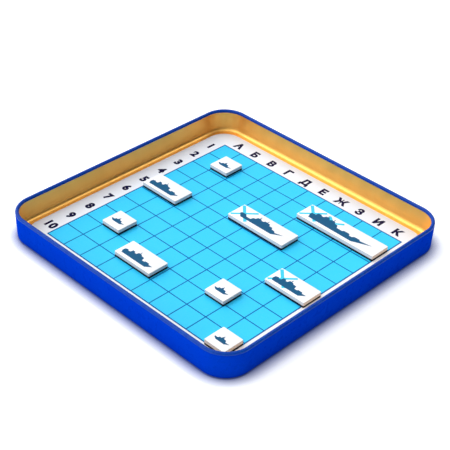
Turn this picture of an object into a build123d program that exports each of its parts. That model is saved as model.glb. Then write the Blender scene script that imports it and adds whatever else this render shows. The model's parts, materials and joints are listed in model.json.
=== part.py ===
from build123d import *
import os

# Travel sea-battle game: an open square tin tray with a printed board lying in it and
# nine magnetic ship tiles standing on the board's grid. Millimetres, +Z up.
# The origin is the centre of the plane that the tray stands on. +X runs along the board's
# row of letters, and +Y points at the wall that the letters stand beside.

# ---- the board's grid drives every size ----
CELL = 16.0                         # one square of the grid
CELLS = 10                          # squares along each side
GRID_OFFSET = 0.14 * CELL           # the grid's centre lies this far to +X and to -Y

# ---- tin tray: one sheet of tinplate, drawn and then curled at the rim ----
TRAY_SIDE = 12.45 * CELL            # outside width over the rim
TRAY_HEIGHT = 19.5                  # from the table to the top of the rim
TRAY_CORNER = 18.5                  # outside corner radius, seen from above
SHEET_METAL = 0.3                   # tinplate thickness
WALL_DRAFT = 0.5                    # the wall closes in this much from rim to base
HEM_RADIUS = 1.25                   # the curled rim is a bead of this radius
BASE_ROUND = 2.1                    # outside round where the wall meets the foot ring
FLOOR_ROUND = 3.4                   # inside round where the wall meets the floor
PANEL_RISE = 1.6                    # the floor panel is pressed up above the foot ring
FOOT_WIDTH = 4.0                    # width of the foot ring that the tray stands on
PANEL_ROUND = 0.8                   # round in the top of the recess under the floor panel

# ---- printed board ----
BOARD_SIDE = 11.64 * CELL
BOARD_CORNER = 14.0
BOARD_THICKNESS = 0.8

# ---- ship tiles: three bonded layers ----
LAYERS = {"magnet": 1.4, "core": 2.05, "face": 0.3}     # thickness, from the bottom up
TILE_GAP = 0.1                      # a tile is this much shorter than its squares
TILE_CORNER = 0.6                   # corner radius of the die-cut layers
TILE_CLEARANCE = 0.02               # air between the magnet and the board's print

# Each tile's first column and first row, counted from 0, the squares that it covers, and how
# far it was set down off the middle of them to +X and to +Y. Columns run to +X and rows to -Y.
TILES = {
    "boat_tile_a": (1, 1, 1, -0.7, 1.8),
    "boat_tile_b": (1, 7, 1, 0.2, -0.4),
    "boat_tile_c": (7, 7, 1, 0.4, -2.0),
    "boat_tile_d": (9, 9, 1, 0.4, -1.6),
    "destroyer_tile_a": (0, 4, 2, 0.6, 0.5),
    "destroyer_tile_b": (3, 8, 2, -1.2, -0.4),
    "destroyer_tile_c": (8, 5, 2, 1.8, -0.2),
    "cruiser_tile": (4, 3, 3, 2.0, 0.3),
    "battleship_tile": (6, 1, 4, 0.4, 1.6),
}

FLOOR_TOP = PANEL_RISE + SHEET_METAL
BOARD_TOP = FLOOR_TOP + BOARD_THICKNESS
WALL_TOP = TRAY_HEIGHT - HEM_RADIUS
GRID_LEFT = GRID_OFFSET - CELLS * CELL / 2
GRID_BACK = CELLS * CELL / 2 - GRID_OFFSET


def rounded_slab(width, depth, corner, thickness, bottom, centre=(0, 0)):
    """A flat plate with rounded corners, whose underside is at the height `bottom`."""
    outline = Pos(centre[0], centre[1], bottom) * RectangleRounded(width, depth, corner)
    return extrude(outline, amount=thickness)


def drafted_block(inset, bottom, edge_round):
    """A solid with the tray's drafted sides, moved in by `inset`, up to the wall's top."""
    top_side = TRAY_SIDE - 2 * inset
    draft = WALL_DRAFT * (WALL_TOP - bottom) / WALL_TOP
    top_corner = TRAY_CORNER - inset
    low = Pos(0, 0, bottom) * RectangleRounded(top_side - 2 * draft, top_side - 2 * draft, top_corner - draft)
    high = Pos(0, 0, WALL_TOP) * RectangleRounded(top_side, top_side, top_corner)
    block = loft([low.face(), high.face()])
    return fillet(block.faces().sort_by(Axis.Z)[0].edges(), edge_round)


def curled_hem():
    """The bead that runs round the rim."""
    side = TRAY_SIDE - 2 * HEM_RADIUS
    path = Pos(0, 0, WALL_TOP) * RectangleRounded(side, side, TRAY_CORNER - HEM_RADIUS)
    section = Plane.XZ * Pos(side / 2, WALL_TOP) * Circle(HEM_RADIUS)
    return sweep(section, path=path.wire())


def foot_recess():
    """The shallow space under the pressed-up floor panel."""
    inset = WALL_DRAFT + FOOT_WIDTH
    side = TRAY_SIDE - 2 * inset
    space = rounded_slab(side, side, TRAY_CORNER - inset, PANEL_RISE, 0)
    return fillet(space.faces().sort_by(Axis.Z)[-1].edges(), PANEL_ROUND)


def tin_tray():
    """Floor panel, foot ring, wall and rim, all one sheet of tin."""
    walls = drafted_block(0, 0, BASE_ROUND) - drafted_block(SHEET_METAL, FLOOR_TOP, FLOOR_ROUND)
    return walls - foot_recess() + curled_hem()


def board_sheet():
    """The printed board lies loose on the floor panel."""
    return rounded_slab(BOARD_SIDE, BOARD_SIDE, BOARD_CORNER, BOARD_THICKNESS, FLOOR_TOP)


def tile_layers(column, row, squares, shift_x, shift_y):
    """The magnet, core and printed face of one tile, each keyed by its layer's name."""
    centre = (
        GRID_LEFT + (column + squares / 2) * CELL + shift_x,
        GRID_BACK - (row + 0.5) * CELL + shift_y,
    )
    solids = {}
    bottom = BOARD_TOP + TILE_CLEARANCE
    for layer, thickness in LAYERS.items():
        solids[layer] = rounded_slab(
            squares * CELL - TILE_GAP, CELL - TILE_GAP, TILE_CORNER, thickness, bottom, centre
        )
        bottom += thickness
    return solids


def all_parts():
    parts = {"tin_tray": tin_tray(), "board_sheet": board_sheet()}
    for tile, place in TILES.items():
        for layer, solid in tile_layers(*place).items():
            parts[f"{tile}_{layer}"] = solid
    return parts


os.makedirs("parts", exist_ok=True)
for node, solid in all_parts().items():
    export_step(solid, f"parts/{node}.step")
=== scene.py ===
"""An open tin tray with a printed sea-battle board and nine magnetic ship tiles.

The CAD frame gives every piece's place and outer size. This script dresses it with meshes and paints, and
adds a floor, lights and a camera. The frame doesn't hold the tin's section, the board's corner or the
grid's offset, so those repeat the CAD's own values.
"""

import json
import math

import bmesh
import bpy
from mathutils import Matrix, Vector

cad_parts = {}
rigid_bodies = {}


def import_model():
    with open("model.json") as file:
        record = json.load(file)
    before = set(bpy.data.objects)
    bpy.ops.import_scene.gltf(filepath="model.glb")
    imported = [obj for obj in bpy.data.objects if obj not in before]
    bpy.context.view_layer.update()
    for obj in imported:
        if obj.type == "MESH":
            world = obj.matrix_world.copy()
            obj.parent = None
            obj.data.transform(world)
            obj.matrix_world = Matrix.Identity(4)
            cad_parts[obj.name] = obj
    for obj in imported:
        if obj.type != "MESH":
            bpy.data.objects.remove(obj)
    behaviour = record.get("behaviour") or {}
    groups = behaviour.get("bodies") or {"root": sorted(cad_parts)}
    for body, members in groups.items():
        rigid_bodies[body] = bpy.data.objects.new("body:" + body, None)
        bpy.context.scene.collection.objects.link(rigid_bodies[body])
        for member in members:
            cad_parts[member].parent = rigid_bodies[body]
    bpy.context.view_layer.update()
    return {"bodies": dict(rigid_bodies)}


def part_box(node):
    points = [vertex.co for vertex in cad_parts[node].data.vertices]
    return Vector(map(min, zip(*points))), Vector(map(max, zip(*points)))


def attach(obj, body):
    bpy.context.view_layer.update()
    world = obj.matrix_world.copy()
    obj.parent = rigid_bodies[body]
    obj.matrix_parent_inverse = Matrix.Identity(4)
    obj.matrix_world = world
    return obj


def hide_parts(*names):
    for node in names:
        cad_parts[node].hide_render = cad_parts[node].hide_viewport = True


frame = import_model()

MM = 0.001

# ---------------------------------------------------------------- sizes read from the frame

TRAY_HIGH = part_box("tin_tray")[1]
BOARD_LOW, BOARD_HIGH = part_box("board_sheet")
CELLS = 10
THREE_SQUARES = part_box("cruiser_tile_face")
FOUR_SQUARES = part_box("battleship_tile_face")
CELL = (FOUR_SQUARES[1].x - FOUR_SQUARES[0].x) - (THREE_SQUARES[1].x - THREE_SQUARES[0].x)
GRID_OFFSET = 0.14 * CELL                        # the grid's middle lies this far to +X and to -Y
GRID_LEFT = GRID_OFFSET - CELLS * CELL / 2
GRID_BACK = CELLS * CELL / 2 - GRID_OFFSET
GRID_RIGHT = GRID_LEFT + CELLS * CELL
GRID_FRONT = GRID_BACK - CELLS * CELL

# the tray's and the board's own sizes, as in the CAD
TRAY_HALF = TRAY_HIGH.x
RIM_TOP = TRAY_HIGH.z
TRAY_CORNER = 18.5 * MM
HEM = 1.25 * MM
WALL_TOP = RIM_TOP - HEM
DRAFT = 0.5 * MM
TIN = 0.3 * MM
BASE_ROUND = 2.1 * MM
FLOOR_ROUND = 3.4 * MM
FOOT_WIDTH = 4.0 * MM
PANEL_ROUND = 0.8 * MM
FLOOR_TOP = BOARD_LOW.z
PANEL_RISE = FLOOR_TOP - TIN
BOARD_CORNER = 14.0 * MM
BOARD_HALF = BOARD_HIGH.x
BOARD_TOP = BOARD_HIGH.z

# details of the tray's two skins that the CAD tray doesn't have
NECK = 0.3 * MM                                  # the wall stands in this much under the curled rim
NECK_START = 2.6 * MM                            # the neck's two ends, below the middle of the hem
NECK_END = 1.4 * MM
NECK_EDGE = 0.8 * NECK                           # how far in the wall stands where the hem's round starts
HEM_CURL = (-48, 250)                            # where the hem's round section starts and ends, in degrees
HEM_LOW = WALL_TOP - 0.3 * HEM                   # the rim's paint starts here, and the gold skin ends here
LINING_TOP = WALL_TOP - 1.1 * HEM                # top of the blue sheet behind the gold
WALL_START = BASE_ROUND * 1.2                    # foot of the outer wall's straight run
WALL_FOOT = 0.5 * MM                             # from the floor's round up to the inner wall's straight run
FOOT_BEVEL = 0.25 * MM                           # breaks the foot ring's inner edge
SKIN_GAP = 0.02 * MM                             # air between the gold skin and the blue one
CAP_MARGIN = 3.0 * MM                            # level turn outside the flat face that closes a skin

# ---------------------------------------------------------------- mesh helpers


def add_mesh(name, verts, faces, material, smooth_angle=None):
    """A mesh object in the frame's metres, linked to the scene."""
    data = bpy.data.meshes.new(name)
    data.from_pydata([tuple(v) for v in verts], [], faces)
    data.validate()
    data.materials.append(material)
    obj = bpy.data.objects.new(name, data)
    bpy.context.scene.collection.objects.link(obj)
    if smooth_angle is not None:
        data.polygons.foreach_set("use_smooth", [True] * len(data.polygons))
        data.set_sharp_from_angle(angle=math.radians(smooth_angle))
    return obj


def rounded_outline(half_x, half_y, corner, centre=(0.0, 0.0), arc_steps=8, side_steps=1):
    """Points anticlockwise round a rectangle with rounded corners."""
    points = []
    corners = [(1, 1, 0), (-1, 1, 90), (-1, -1, 180), (1, -1, 270)]
    for index, (sx, sy, start) in enumerate(corners):
        cx = centre[0] + sx * (half_x - corner)
        cy = centre[1] + sy * (half_y - corner)
        for step in range(arc_steps + 1):
            angle = math.radians(start + 90 * step / arc_steps)
            points.append((cx + corner * math.cos(angle), cy + corner * math.sin(angle)))
        next_x, next_y, next_start = corners[(index + 1) % 4]
        end = points[-1]
        angle = math.radians(next_start)
        goal = (
            centre[0] + next_x * (half_x - corner) + corner * math.cos(angle),
            centre[1] + next_y * (half_y - corner) + corner * math.sin(angle),
        )
        for step in range(1, side_steps):
            t = step / side_steps
            points.append((end[0] + (goal[0] - end[0]) * t, end[1] + (goal[1] - end[1]) * t))
    return points


def stacked_rings(name, rings, material, smooth_angle):
    """Joins rings of equal length, one above another, and closes the first and the last with a flat cap."""
    verts = [point for ring in rings for point in ring]
    count = len(rings[0])
    faces = [tuple(reversed(range(count)))]
    for level in range(len(rings) - 1):
        base = level * count
        for i in range(count):
            j = (i + 1) % count
            faces.append((base + i, base + j, base + count + j, base + count + i))
    last = (len(rings) - 1) * count
    faces.append(tuple(last + i for i in range(count)))
    return add_mesh(name, verts, faces, material, smooth_angle)


def prism_parts(outline, low, high):
    """Vertices and faces of a flat plate with this outline, anticlockwise."""
    count = len(outline)
    verts = [(x, y, low) for x, y in outline] + [(x, y, high) for x, y in outline]
    faces = [tuple(reversed(range(count))), tuple(range(count, 2 * count))]
    for i in range(count):
        j = (i + 1) % count
        faces.append((i, j, count + j, count + i))
    return verts, faces


def ring_plate_parts(outer, inner, low, high):
    """Vertices and faces of a flat closed band between two outlines of equal length."""
    count = len(outer)
    levels = [(outer, low), (outer, high), (inner, high), (inner, low)]
    verts = [(x, y, z) for outline, z in levels for x, y in outline]
    faces = []
    for level in range(4):
        base, above = level * count, (level + 1) % 4 * count
        for i in range(count):
            j = (i + 1) % count
            faces.append((base + i, base + j, above + j, above + i))
    return verts, faces


def join_parts(parts):
    """One list of vertices and one of faces from several (vertices, faces) pairs."""
    verts, faces = [], []
    for part_verts, part_faces in parts:
        start = len(verts)
        verts += part_verts
        faces += [tuple(start + i for i in face) for face in part_faces]
    return verts, faces


def stroke_outline(start, end, width):
    """The outline of a straight stroke between two points, anticlockwise."""
    start = Vector(start)
    end = Vector(end)
    along = (end - start).normalized()
    side = Vector((-along.y, along.x)) * (width / 2)
    return anticlockwise([tuple(start + side), tuple(end + side), tuple(end - side), tuple(start - side)])


def signed_area(outline):
    """The area inside an outline, below zero when it runs clockwise."""
    return sum(a[0] * b[1] - b[0] * a[1] for a, b in zip(outline, outline[1:] + outline[:1])) / 2


def anticlockwise(outline):
    """The same outline, turned round if it runs clockwise."""
    return outline if signed_area(outline) > 0 else outline[::-1]


# ---------------------------------------------------------------- materials


class Paint:
    """A Principled material, with short ways to add procedural detail in the object's own coordinates."""

    def __init__(self, name, colour, roughness, **inputs):
        self.material = bpy.data.materials.new(name)
        self.material.use_nodes = True
        self.tree = self.material.node_tree
        self.shader = self.tree.nodes["Principled BSDF"]
        self.colour = (*colour, 1.0)
        self.roughness = roughness
        self.shader.inputs["Base Color"].default_value = self.colour
        self.shader.inputs["Roughness"].default_value = roughness
        for label, value in inputs.items():
            self.shader.inputs[label.replace("_", " ")].default_value = value
        self.coordinates = self.tree.nodes.new("ShaderNodeTexCoord").outputs["Object"]

    def noise(self, scale, detail=3.0, stretch=(1.0, 1.0, 1.0)):
        """Noise of `scale` waves a metre, from 0 to 1."""
        mapping = self.tree.nodes.new("ShaderNodeMapping")
        mapping.inputs["Scale"].default_value = stretch
        self.tree.links.new(self.coordinates, mapping.inputs["Vector"])
        node = self.tree.nodes.new("ShaderNodeTexNoise")
        node.inputs["Scale"].default_value = scale
        node.inputs["Detail"].default_value = detail
        self.tree.links.new(mapping.outputs["Vector"], node.inputs["Vector"])
        return node.outputs["Fac"]

    def upward(self):
        """How far the surface faces up, from 0 on a wall to 1 on a level top."""
        split = self.tree.nodes.new("ShaderNodeSeparateXYZ")
        self.tree.links.new(self.tree.nodes["Texture Coordinate"].outputs["Normal"], split.inputs["Vector"])
        return split.outputs["Z"]

    def between(self, factor, low, high, low_value, high_value):
        """The factor's range low to high, stretched to low_value to high_value."""
        node = self.tree.nodes.new("ShaderNodeMapRange")
        node.inputs["From Min"].default_value = low
        node.inputs["From Max"].default_value = high
        node.inputs["To Min"].default_value = low_value
        node.inputs["To Max"].default_value = high_value
        self.tree.links.new(factor, node.inputs["Value"])
        return node.outputs["Result"]

    def tint(self, factor, colour):
        """Mixes another colour in by a factor from 0 to 1."""
        node = self.tree.nodes.new("ShaderNodeMix")
        node.data_type = "RGBA"
        base = self.shader.inputs["Base Color"]
        if base.is_linked:
            self.tree.links.new(base.links[0].from_socket, node.inputs["A"])
        else:
            node.inputs["A"].default_value = self.colour
        node.inputs["B"].default_value = (*colour, 1.0)
        self.tree.links.new(factor, node.inputs["Factor"])
        self.tree.links.new(node.outputs["Result"], base)

    def uneven_gloss(self, factor, spread):
        """Roughness that strays this much to each side of its value."""
        rough = self.between(factor, 0.35, 0.65, self.roughness - spread, self.roughness + spread)
        self.tree.links.new(rough, self.shader.inputs["Roughness"])

    def bump(self, factor, distance, strength=1.0):
        """Fine relief, `distance` metres deep."""
        node = self.tree.nodes.new("ShaderNodeBump")
        node.inputs["Strength"].default_value = strength
        node.inputs["Distance"].default_value = distance
        self.tree.links.new(factor, node.inputs["Height"])
        if self.shader.inputs["Normal"].is_linked:
            self.tree.links.new(self.shader.inputs["Normal"].links[0].from_socket, node.inputs["Normal"])
        self.tree.links.new(node.outputs["Normal"], self.shader.inputs["Normal"])


def blue_lacquer():
    paint = Paint("blue_lacquer", (0.0002, 0.038, 0.47), 0.30, Metallic=0.12, Specular_IOR_Level=0.0)
    paint.shader.inputs["Specular Tint"].default_value = (0.12, 0.42, 1.0, 1.0)
    paint.tint(paint.between(paint.noise(60, 4), 0.45, 0.75, 0.0, 0.35), (0.0002, 0.024, 0.42))
    paint.uneven_gloss(paint.noise(220, 3), 0.05)
    paint.bump(paint.noise(900, 2), 0.006 * MM, 0.4)
    return paint.material


def rim_lacquer():
    """The wall's blue on the curled rim, rubbed glossy and a little thin, with a darker base colour than the
    wall's: painted shade on the curl.
    """
    paint = Paint("rim_lacquer", (0.0003, 0.042, 0.32), 0.28, Specular_IOR_Level=0.05)
    paint.shader.inputs["Coat Weight"].default_value = 0.15
    paint.shader.inputs["Coat Roughness"].default_value = 0.10
    paint.tint(paint.between(paint.noise(240, 5), 0.52, 0.72, 0.0, 0.35), (0.004, 0.09, 0.42))
    paint.bump(paint.noise(700, 2), 0.008 * MM, 0.4)
    return paint.material


def gold_lacquer():
    paint = Paint("gold_lacquer", (0.93, 0.52, 0.125), 0.42, Metallic=0.85, Specular_IOR_Level=0.3)
    paint.tint(paint.between(paint.noise(45, 4), 0.45, 0.7, 0.0, 0.3), (0.85, 0.44, 0.08))
    paint.uneven_gloss(paint.noise(500, 3, (1.0, 1.0, 0.08)), 0.05)
    paint.bump(paint.noise(700, 3, (1.0, 1.0, 0.1)), 0.01 * MM, 0.4)
    return paint.material


def white_print():
    paint = Paint("board_white", (0.79, 0.81, 0.86), 0.5, Specular_IOR_Level=0.25)
    paint.tint(paint.between(paint.noise(2600, 4), 0.5, 0.8, 0.0, 0.25), (0.73, 0.74, 0.79))
    paint.bump(paint.noise(3200, 3), 0.008 * MM, 0.4)
    return paint.material


def cyan_print():
    paint = Paint("board_cyan", (0.022, 0.55, 0.88), 0.45, Specular_IOR_Level=0.22)
    paint.tint(paint.between(paint.noise(900, 5), 0.42, 0.72, 0.0, 0.45), (0.045, 0.55, 0.92))
    paint.tint(paint.between(paint.noise(3000, 3), 0.62, 0.8, 0.0, 0.35), (0.015, 0.40, 0.76))
    paint.bump(paint.noise(3200, 3), 0.008 * MM, 0.4)
    return paint.material


def ink(name, colour, paler):
    paint = Paint(name, colour, 0.5, Specular_IOR_Level=0.1)
    paint.tint(paint.between(paint.noise(2400, 4), 0.5, 0.75, 0.0, 0.35), paler)
    return paint.material


def tile_face_paint():
    paint = Paint("tile_face_white", (0.86, 0.86, 0.87), 0.42, Specular_IOR_Level=0.3)
    paint.tint(paint.between(paint.noise(1500, 4), 0.5, 0.8, 0.0, 0.2), (0.79, 0.80, 0.82))
    # the broken top edge and the sides are tinted grey, darker than the level top: painted shade along the
    # crease under the top edge
    paint.tint(paint.between(paint.upward(), 0.2, 0.75, 1.0, 0.0), (0.30, 0.33, 0.34))
    paint.bump(paint.noise(1800, 3), 0.01 * MM, 0.4)
    return paint.material


def tile_core_board():
    paint = Paint("tile_core_board", (0.66, 0.66, 0.70), 0.75, Specular_IOR_Level=0.2)
    fibres = paint.noise(1200, 5, (1.0, 1.0, 4.0))
    paint.tint(paint.between(fibres, 0.45, 0.75, 0.0, 0.5), (0.52, 0.52, 0.55))
    paint.bump(paint.noise(2200, 4, (1.0, 1.0, 3.0)), 0.04 * MM, 0.7)
    return paint.material


def magnet_rubber():
    paint = Paint("magnet_rubber", (0.004, 0.004, 0.008), 0.6, Specular_IOR_Level=0.15)
    paint.tint(paint.between(paint.noise(2500, 4), 0.5, 0.75, 0.0, 0.4), (0.014, 0.014, 0.018))
    paint.bump(paint.noise(2600, 4), 0.02 * MM, 0.6)
    return paint.material


BLUE = blue_lacquer()
RIM = rim_lacquer()
GOLD = gold_lacquer()
WHITE = white_print()
CYAN = cyan_print()
LINE_INK = ink("grid_line_ink", (0.0002, 0.105, 0.33), (0.002, 0.13, 0.38))
LABEL_INK = ink("label_ink", (0.001, 0.0005, 0.034), (0.004, 0.002, 0.05))
SHIP_INK = ink("ship_ink", (0.006, 0.085, 0.19), (0.012, 0.11, 0.23))
BAND_INK = ink("pale_blue_ink", (0.05, 0.56, 0.74), (0.12, 0.62, 0.78))
FACE = tile_face_paint()
CORE = tile_core_board()
MAGNET = magnet_rubber()

# ---------------------------------------------------------------- the tin tray: two skins of one sheet

CORNER_STEPS = 24
SIDE_STEPS = 12


def tray_ring(inset, height):
    """One turn round the tray, moved in from the rim's outside by `inset`."""
    half = TRAY_HALF - inset
    corner = TRAY_CORNER - inset
    outline = rounded_outline(half, half, corner, arc_steps=CORNER_STEPS, side_steps=SIDE_STEPS)
    return [(x, y, height) for x, y in outline]


def wall_inset(height):
    """How far the drafted wall's outside stands in from the rim at this height."""
    return DRAFT * (1 - height / WALL_TOP)


def section_arc(inset, height, radius, start, end, steps=8):
    """Part of a circle in the tin's section. Angle 0 points out of the tray and 90 points up."""
    section = []
    for step in range(steps + 1):
        angle = math.radians(start + (end - start) * step / steps)
        section.append((inset - radius * math.cos(angle), height + radius * math.sin(angle)))
    return section


def wall_run(offset, low, high, steps=5):
    """Straight run up the wall, `offset` in from its outside."""
    heights = [low + (high - low) * step / steps for step in range(steps + 1)]
    return [(wall_inset(z) + offset, z) for z in heights]


def outer_skin():
    """The blue side: underside, foot ring, wall and the curled hem."""
    half_tin = TIN / 2
    recess = DRAFT + FOOT_WIDTH
    section = [(recess + CAP_MARGIN, PANEL_RISE), (recess + PANEL_ROUND, PANEL_RISE)]
    section += section_arc(recess + PANEL_ROUND, PANEL_RISE - PANEL_ROUND, PANEL_ROUND, 90, 0, 6)[1:]
    section += [(recess, FOOT_BEVEL), (recess - FOOT_BEVEL, 0.0)]
    section += section_arc(DRAFT + BASE_ROUND, BASE_ROUND, BASE_ROUND, -90, 0, 8)
    section += wall_run(0, WALL_START, WALL_TOP - NECK_START)
    section += [(wall_inset(WALL_TOP - NECK_END) + NECK_EDGE, WALL_TOP - NECK_END)]
    section += section_arc(HEM, WALL_TOP, HEM, *HEM_CURL, 30)
    section += wall_run(NECK + half_tin, FLOOR_TOP + FLOOR_ROUND, LINING_TOP)[::-1]
    inside = DRAFT + NECK + half_tin
    section += section_arc(inside + FLOOR_ROUND, FLOOR_TOP - half_tin + FLOOR_ROUND, FLOOR_ROUND, 0, -90, 8)
    section += [(inside + FLOOR_ROUND + CAP_MARGIN, FLOOR_TOP - half_tin)]
    rings = [tray_ring(inset, height) for inset, height in section]
    skin = stacked_rings("tray_outer_skin", rings, BLUE, 40)
    skin.data.materials.append(RIM)
    for face in skin.data.polygons:
        if face.center.z > HEM_LOW:
            face.material_index = 1
    return skin


def inner_skin():
    """The gold side: wall, fillet and floor, up to where the hem comes down on it."""
    mid = NECK + TIN / 2 + SKIN_GAP
    inside = DRAFT + mid
    low = FLOOR_TOP - TIN / 2 + SKIN_GAP
    section = [(inside + FLOOR_ROUND + CAP_MARGIN, low)]
    section += section_arc(inside + FLOOR_ROUND, low + FLOOR_ROUND, FLOOR_ROUND, -90, 0, 10)
    section += wall_run(mid, low + FLOOR_ROUND + WALL_FOOT, HEM_LOW)
    section += wall_run(NECK + TIN, FLOOR_TOP + FLOOR_ROUND + WALL_FOOT, HEM_LOW)[::-1]
    face = DRAFT + NECK + TIN
    section += section_arc(face + FLOOR_ROUND, FLOOR_TOP + FLOOR_ROUND, FLOOR_ROUND, 0, -90, 12)
    section += [(face + FLOOR_ROUND + CAP_MARGIN, FLOOR_TOP)]
    rings = [tray_ring(inset, height) for inset, height in section]
    return stacked_rings("tray_inner_skin", rings, GOLD, 40)


outer = outer_skin()
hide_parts("tin_tray")
inner = inner_skin()
for skin in (outer, inner):
    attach(skin, "tray")

# ---------------------------------------------------------------- the printed board

INK = 0.02 * MM                           # one layer of ink
INK_ORDER = 0.2 * INK                     # keeps prints that cross from lying in one plane
PRINT_FLOOR = BOARD_TOP - 3 * INK         # the paper's own surface, under the layers of ink
FIELD_TOP = BOARD_TOP - 2 * INK
LINE_TOP = BOARD_TOP - INK
LABEL_TOP = BOARD_TOP - 1.5 * INK
LINE_WIDTH = 0.74 * MM
OUTLINE_WIDTH = 0.90 * MM
OUTLINE_CORNERS = (0.2 * MM, 0.05 * MM)   # outside and inside
CUT_EDGE = ((0.12, 0.0), (0.0, 0.15), (0.0, 0.85), (0.05, 0.95), (0.14, 1.0))   # mm in, share of thickness up


def paper_sheet():
    """The board's sheet, with softly rounded cut edges."""
    rings = []
    thickness = PRINT_FLOOR - BOARD_LOW.z
    for inset, share in CUT_EDGE:
        half = BOARD_HALF - inset * MM
        corner = BOARD_CORNER - inset * MM
        outline = rounded_outline(half, half, corner, arc_steps=16, side_steps=4)
        rings.append([(x, y, BOARD_LOW.z + thickness * share) for x, y in outline])
    return stacked_rings("board_paper", rings, WHITE, 30)


def rectangle_parts(left, front, right, back, low, high):
    """A printed rectangle, as a thin closed plate."""
    return prism_parts([(left, front), (right, front), (right, back), (left, back)], low, high)


def printed_field():
    """The blue sea behind the grid."""
    sea = rectangle_parts(GRID_LEFT, GRID_FRONT, GRID_RIGHT, GRID_BACK, PRINT_FLOOR - INK, FIELD_TOP)
    return add_mesh("board_sea_print", *sea, CYAN)


def grid_lines():
    """Lines between the squares, and the line round them all."""
    parts = []
    half = LINE_WIDTH / 2
    low = FIELD_TOP - 1.5 * INK
    for i in range(1, CELLS):
        x = GRID_LEFT + i * CELL
        y = GRID_FRONT + i * CELL
        parts.append(rectangle_parts(x - half, GRID_FRONT, x + half, GRID_BACK, low, LINE_TOP))
        parts.append(rectangle_parts(GRID_LEFT, y - half, GRID_RIGHT, y + half, low, LINE_TOP - INK_ORDER))
    edge = OUTLINE_WIDTH / 2
    centre = ((GRID_LEFT + GRID_RIGHT) / 2, (GRID_FRONT + GRID_BACK) / 2)
    span = (GRID_RIGHT - GRID_LEFT) / 2
    outside = rounded_outline(span + edge, span + edge, OUTLINE_CORNERS[0], centre, 3)
    inside = rounded_outline(span - edge, span - edge, OUTLINE_CORNERS[1], centre, 3)
    parts.append(ring_plate_parts(outside, inside, PRINT_FLOOR - 1.5 * INK, LINE_TOP + INK_ORDER))
    return add_mesh("board_grid_print", *join_parts(parts), LINE_INK)


COLUMN_LETTERS = "АБВГДЕЖЗИК"
LABEL_HEIGHT = 0.46 * CELL
LABEL_BOLDNESS = 0.54 * MM
DIGIT_SPACING = 1.12                # keeps the bold digits of 10 apart
LETTER_SHIFT = 0.42 * CELL          # from the grid's back edge to the middle of the letters
NUMBER_SHIFT = 0.37 * CELL          # from the grid's left edge to the middle of the numbers
CAPITAL_SHARE = 0.728               # a capital's height as a share of the built-in font's size


def label_mesh(text, centre):
    """One bold generic mark in Blender's own font, as a thin closed plate of ink."""
    curve = bpy.data.curves.new("label", "FONT")
    curve.body = text
    curve.size = (LABEL_HEIGHT - 2 * LABEL_BOLDNESS) / CAPITAL_SHARE
    curve.space_character = DIGIT_SPACING
    curve.bevel_depth = LABEL_BOLDNESS
    curve.bevel_resolution = 0
    curve.extrude = 2 * LABEL_BOLDNESS
    curve.resolution_u = 4
    writer = bpy.data.objects.new("label", curve)
    mesh = bpy.data.meshes.new_from_object(writer)
    bpy.data.objects.remove(writer)
    xs = [v.co.x for v in mesh.vertices]
    middle_x = (min(xs) + max(xs)) / 2
    middle_y = LABEL_HEIGHT / 2 - LABEL_BOLDNESS
    # the bevel that makes the mark bold is pressed flat into the ink's own thickness
    bottom = PRINT_FLOOR - INK
    thickness = 6 * LABEL_BOLDNESS          # twice the extrusion and the bevel
    press = (LABEL_TOP - bottom) / thickness
    middle_z = (LABEL_TOP + bottom) / 2
    verts = []
    for v in mesh.vertices:
        x = v.co.x - middle_x + centre[0]
        y = v.co.y - middle_y + centre[1]
        verts.append((x, y, v.co.z * press + middle_z))
    faces = [tuple(p.vertices) for p in mesh.polygons]
    bpy.data.meshes.remove(mesh)
    return verts, faces


def labels(name, texts, first, step):
    """A row or a column of marks, one to a square."""
    parts = []
    for i, text in enumerate(texts):
        parts.append(label_mesh(text, (first[0] + i * step[0], first[1] + i * step[1])))
    marks = add_mesh(name, *join_parts(parts), LABEL_INK)
    shape = bmesh.new()
    shape.from_mesh(marks.data)
    bmesh.ops.remove_doubles(shape, verts=shape.verts, dist=0.001 * MM)
    shape.to_mesh(marks.data)
    shape.free()
    return marks


def column_labels():
    """Ten letters behind the grid."""
    first = (GRID_LEFT + CELL / 2, GRID_BACK + LETTER_SHIFT)
    return labels("board_column_letters", COLUMN_LETTERS, first, (CELL, 0))


def row_labels():
    """Ten numbers beside the grid."""
    numbers = [str(i + 1) for i in range(CELLS)]
    first = (GRID_LEFT - NUMBER_SHIFT, GRID_BACK - CELL / 2)
    return labels("board_row_numbers", numbers, first, (0, -CELL))


board = paper_sheet()
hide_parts("board_sheet")
for piece in (board, printed_field(), grid_lines(), column_labels(), row_labels()):
    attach(piece, "tray")

# ---------------------------------------------------------------- the ship tiles

TILE_CORNER = 0.6 * MM

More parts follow.
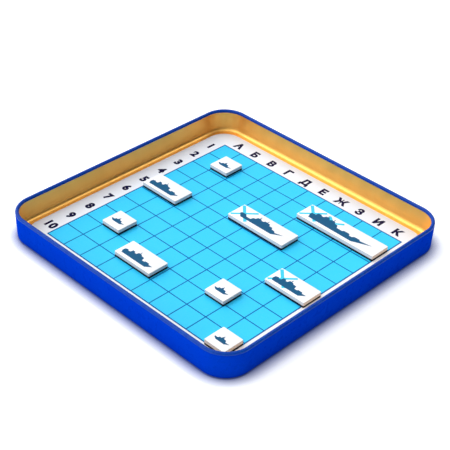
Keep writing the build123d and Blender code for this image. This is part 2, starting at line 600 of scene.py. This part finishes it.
# Side views of made-up ships, bow to the right, by the tile's number of squares. Points are in shares of a
# square: x from 0 to the number of squares, y from the tile's front edge (0) to its back edge (1).
SHIP_OUTLINES = {
    1: [
        (0.13, 0.39), (0.27, 0.31), (0.68, 0.31), (0.86, 0.43), (0.66, 0.42), (0.62, 0.51), (0.50, 0.52),
        (0.47, 0.58), (0.40, 0.58), (0.38, 0.51), (0.30, 0.51), (0.26, 0.43), (0.15, 0.44),
    ],
    2: [
        (0.15, 0.30), (0.22, 0.17), (1.54, 0.17), (1.78, 0.38), (1.58, 0.37), (1.53, 0.44), (1.34, 0.44),
        (1.30, 0.39), (1.18, 0.39), (1.14, 0.54), (0.98, 0.56), (0.92, 0.62), (0.76, 0.62), (0.72, 0.50),
        (0.64, 0.50), (0.60, 0.57), (0.48, 0.57), (0.45, 0.44), (0.36, 0.42), (0.30, 0.48), (0.17, 0.44),
    ],
    3: [
        (0.28, 0.46), (0.46, 0.25), (2.14, 0.25), (2.60, 0.53), (2.22, 0.42), (2.14, 0.50), (1.98, 0.52),
        (1.92, 0.62), (1.76, 0.62), (1.70, 0.72), (1.44, 0.74), (1.38, 0.66), (1.28, 0.66), (1.24, 0.72),
        (1.06, 0.70), (1.02, 0.58), (0.92, 0.56), (0.88, 0.42), (0.66, 0.42), (0.54, 0.54), (0.32, 0.52),
    ],
    4: [
        (0.38, 0.40), (0.46, 0.20), (2.74, 0.17), (3.56, 0.52), (3.00, 0.44), (2.92, 0.51), (2.66, 0.50),
        (2.60, 0.42), (2.46, 0.42), (2.40, 0.52), (2.12, 0.52), (2.06, 0.45), (1.78, 0.46), (1.70, 0.60),
        (1.54, 0.62), (1.48, 0.73), (1.30, 0.73), (1.22, 0.66), (1.16, 0.76), (0.98, 0.76), (0.92, 0.64),
        (0.82, 0.64), (0.76, 0.70), (0.62, 0.68), (0.58, 0.54), (0.40, 0.52),
    ],
}

# Each mast as (x, foot, tip), in the same shares.
MASTS = {
    1: [(0.44, 0.56, 0.64)],
    2: [(0.84, 0.60, 0.72)],
    3: [(1.16, 0.68, 0.84), (1.56, 0.70, 0.84)],
    4: [(1.07, 0.74, 0.88), (1.40, 0.70, 0.84)],
}
MAST_WIDTH = 0.035                  # in squares, as is the bands' full width

# Crossed pale bands, as (middle x, middle y, half width, half height) in squares. One band of a cross leans
# each way, as (lean, share of the full width, height in layers of ink), and both lie under the ship.
BAND_PAIR = ((1, 0.8, 0.4), (-1, 1.0, 0.6))
LEFT_SQUARE_BANDS = (0.46, 0.52, 0.41, 0.41)
CROSSED_BANDS = {
    "destroyer_tile_c": [LEFT_SQUARE_BANDS],
    "cruiser_tile": [LEFT_SQUARE_BANDS],
    "battleship_tile": [LEFT_SQUARE_BANDS, (1.46, 0.56, 0.39, 0.30)],
}
BAND_WIDTH = 0.14

# A layer's top edge, as (share of the edge's width in, share of it down from the top).
TOP_BREAK = ((0.0, 1.0), (0.3, 0.3), (1.0, 0.0))


def soft_slab(name, low, high, corner, edge, material):
    """A die-cut layer: rounded corners and softly broken edges."""
    centre = ((low.x + high.x) / 2, (low.y + high.y) / 2)
    half_x = (high.x - low.x) / 2
    half_y = (high.y - low.y) / 2
    levels = [(edge, low.z), (0.0, low.z + edge)]
    levels += [(share_in * edge, high.z - share_down * edge) for share_in, share_down in TOP_BREAK]
    rings = []
    for inset, height in levels:
        outline = rounded_outline(half_x - inset, half_y - inset, corner, centre, arc_steps=5, side_steps=2)
        rings.append([(x, y, height) for x, y in outline])
    return stacked_rings(name, rings, material, 30)


def tile_print(tile, squares, low, high):
    """The ship's silhouette, its masts and any crossed bands, printed on the face."""
    def place(x, y):
        return (low.x + (high.x - low.x) * x / squares, low.y + (high.y - low.y) * y)

    bottom = high.z - INK
    hull = anticlockwise([place(x, y) for x, y in SHIP_OUTLINES[squares]])
    parts = [prism_parts(hull, bottom, high.z + INK)]
    for x, foot, tip in MASTS[squares]:
        mast = stroke_outline(place(x, foot), place(x, tip), MAST_WIDTH * CELL)
        parts.append(prism_parts(mast, bottom, high.z + 0.8 * INK))
    pieces = [add_mesh(f"{tile}_ship", *join_parts(parts), SHIP_INK)]
    if tile in CROSSED_BANDS:
        parts = []
        for middle_x, middle_y, half_x, half_y in CROSSED_BANDS[tile]:
            for lean, width, share in BAND_PAIR:
                start = place(middle_x - half_x, middle_y - lean * half_y)
                end = place(middle_x + half_x, middle_y + lean * half_y)
                band = stroke_outline(start, end, width * BAND_WIDTH * CELL)
                parts.append(prism_parts(band, bottom, high.z + share * INK))
        pieces.append(add_mesh(f"{tile}_bands", *join_parts(parts), BAND_INK))
    return pieces


# Each layer's material, slot and how far its edges are broken, in mm.
TILE_LAYERS = {
    "magnet": (MAGNET, "magnet_sheet", 0.10),
    "core": (CORE, "tile_core", 0.06),
    "face": (FACE, "tile_face", 0.09),
}


def build_tile(tile):
    """One tile's three layers and its print, riding on the tile's body."""
    for layer, (material, slot, edge) in TILE_LAYERS.items():
        node = f"{tile}_{layer}"
        low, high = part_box(node)
        piece = soft_slab(f"{node}_piece", low, high, TILE_CORNER, edge * MM, material)
        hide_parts(node)
        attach(piece, tile)
    low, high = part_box(f"{tile}_face")
    squares = round((high.x - low.x) / CELL)
    for piece in tile_print(tile, squares, low, high):
        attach(piece, tile)


for body in frame["bodies"]:
    if body.endswith("_tile") or "_tile_" in body:
        build_tile(body)

# ---------------------------------------------------------------- floor, light and camera

FLOOR_GAP = 0.01 * MM              # the floor lies this much under the tin
SHADE_REACH = 12 * MM              # the floor is shaded where the tin is nearer than this
SHADE_RANGE = (0.45, 0.90)         # how open the floor is to the sky where it is darkest and palest
SHADE_COLOUR = (0.08, 0.11, 0.28, 1.0)
PAPER_COLOUR = (0.94, 0.94, 0.95, 1.0)
PAPER_GLOW = 0.26                  # lifts the paper to white

# Half the floor's width and its height, in metres. It is level, then sweeps up at its far edge, so that a low
# camera still sees white behind the tin.
FLOOR_SWEEP = ((2.0, 0.0), (4.0, 0.0), (4.6, 0.06), (5.0, 0.25), (5.2, 0.7))


def pale_floor():
    """White paper under the tin, with a bluish shade where the tin nearly touches it."""
    material = bpy.data.materials.new("pale_floor")
    material.use_nodes = True
    tree = material.node_tree
    shader = tree.nodes["Principled BSDF"]
    shader.inputs["Roughness"].default_value = 0.9
    shader.inputs["Specular IOR Level"].default_value = 0.0
    shader.inputs["Emission Strength"].default_value = PAPER_GLOW
    nearness = tree.nodes.new("ShaderNodeAmbientOcclusion")
    nearness.inputs["Distance"].default_value = SHADE_REACH
    shade = tree.nodes.new("ShaderNodeMapRange")
    shade.inputs["From Min"].default_value = SHADE_RANGE[0]
    shade.inputs["From Max"].default_value = SHADE_RANGE[1]
    mix = tree.nodes.new("ShaderNodeMix")
    mix.data_type = "RGBA"
    mix.inputs["A"].default_value = SHADE_COLOUR
    mix.inputs["B"].default_value = PAPER_COLOUR
    tree.links.new(nearness.outputs["AO"], shade.inputs["Value"])
    tree.links.new(shade.outputs["Result"], mix.inputs["Factor"])
    tree.links.new(mix.outputs["Result"], shader.inputs["Base Color"])
    tree.links.new(mix.outputs["Result"], shader.inputs["Emission Color"])
    rings = []
    for reach, height in FLOOR_SWEEP:
        outline = rounded_outline(reach, reach, 0.9 * reach, arc_steps=12)
        rings.append([(x, y, height - FLOOR_GAP) for x, y in outline])
    count = len(rings[0])
    verts = [point for ring in rings for point in ring]
    faces = [tuple(range(count))]
    for start in range(0, len(verts) - count, count):
        for i in range(count):
            j = (i + 1) % count
            faces.append((start + j, start + i, start + count + i, start + count + j))
    add_mesh("floor", verts, faces, material, 60)


def soft_light(name, place, size, power):
    """A square softbox that looks at the middle of the board."""
    data = bpy.data.lights.new(name, "AREA")
    data.shape = "SQUARE"
    data.size = size
    data.energy = power
    light = bpy.data.objects.new(name, data)
    light.location = place
    light.rotation_euler = (-Vector(place)).to_track_quat("-Z", "Y").to_euler()
    bpy.context.scene.collection.objects.link(light)


# Where most of the studio's light comes from, and the cosine of the angle to it where the dome is darkest and
# where it is brightest.
BRIGHT_SIDE = Vector((-0.60, -0.32, 0.75)).normalized()
SKY_RANGE = (0.05, 0.85)
SKY_STRENGTH = (0.0, 1.9)

# Each softbox's place in metres, its width in metres and its power in watts.
KEY_LIGHT = ((-0.85, -0.50, 1.25), 0.9, 5)
BACK_LIGHT = ((0.12, 0.75, 1.05), 0.4, 2.0)


def studio_light():
    """A soft dome, bright towards -X, a large softbox on that side and a small one behind the letters."""
    world = bpy.data.worlds.new("studio")
    world.use_nodes = True
    tree = world.node_tree
    background = tree.nodes["Background"]
    background.inputs["Color"].default_value = (0.94, 0.97, 1.0, 1.0)
    direction = tree.nodes.new("ShaderNodeTexCoord")
    share = tree.nodes.new("ShaderNodeVectorMath")
    share.operation = "DOT_PRODUCT"
    share.inputs[1].default_value = BRIGHT_SIDE
    strength = tree.nodes.new("ShaderNodeMapRange")
    strength.inputs["From Min"].default_value = SKY_RANGE[0]
    strength.inputs["From Max"].default_value = SKY_RANGE[1]
    strength.inputs["To Min"].default_value = SKY_STRENGTH[0]
    strength.inputs["To Max"].default_value = SKY_STRENGTH[1]
    tree.links.new(direction.outputs["Generated"], share.inputs[0])
    tree.links.new(share.outputs["Value"], strength.inputs["Value"])
    tree.links.new(strength.outputs["Result"], background.inputs["Strength"])
    bpy.context.scene.world = world
    soft_light("key_light", *KEY_LIGHT)
    soft_light("back_light", *BACK_LIGHT)
    bpy.context.scene.view_settings.view_transform = "Standard"


AZIMUTH = 43.74                                     # degrees, as are the next two
ELEVATION = 35.38
ROLL = 2.16
SENSOR = 36.0                                       # mm
LENS = 93.8                                         # mm
DISTANCE = 46.89 * CELL                             # from the middle of the grid
RAISE = 0.505 * CELL                                # the camera stands this much higher, looking the same way


def photo_camera():
    """A long lens that looks down on the board over its front corner."""
    azimuth = math.radians(AZIMUTH)
    elevation = math.radians(ELEVATION)
    roll = math.radians(ROLL)
    level_back = Vector((math.sin(azimuth), -math.cos(azimuth), 0.0))
    back = level_back * math.cos(elevation) + Vector((0.0, 0.0, math.sin(elevation)))
    level_right = Vector((math.cos(azimuth), math.sin(azimuth), 0.0))
    level_up = back.cross(level_right)
    right = level_right * math.cos(roll) + level_up * math.sin(roll)
    up = level_up * math.cos(roll) - level_right * math.sin(roll)
    target = Vector(((GRID_LEFT + GRID_RIGHT) / 2, (GRID_FRONT + GRID_BACK) / 2, BOARD_TOP))
    data = bpy.data.cameras.new("camera")
    data.lens = LENS
    data.sensor_width = SENSOR
    camera = bpy.data.objects.new("camera", data)
    axes = Matrix((right, up, back)).transposed().to_4x4()
    camera.matrix_world = Matrix.Translation(target + back * DISTANCE + up * RAISE) @ axes
    bpy.context.scene.collection.objects.link(camera)
    bpy.context.scene.camera = camera


pale_floor()
studio_light()
photo_camera()
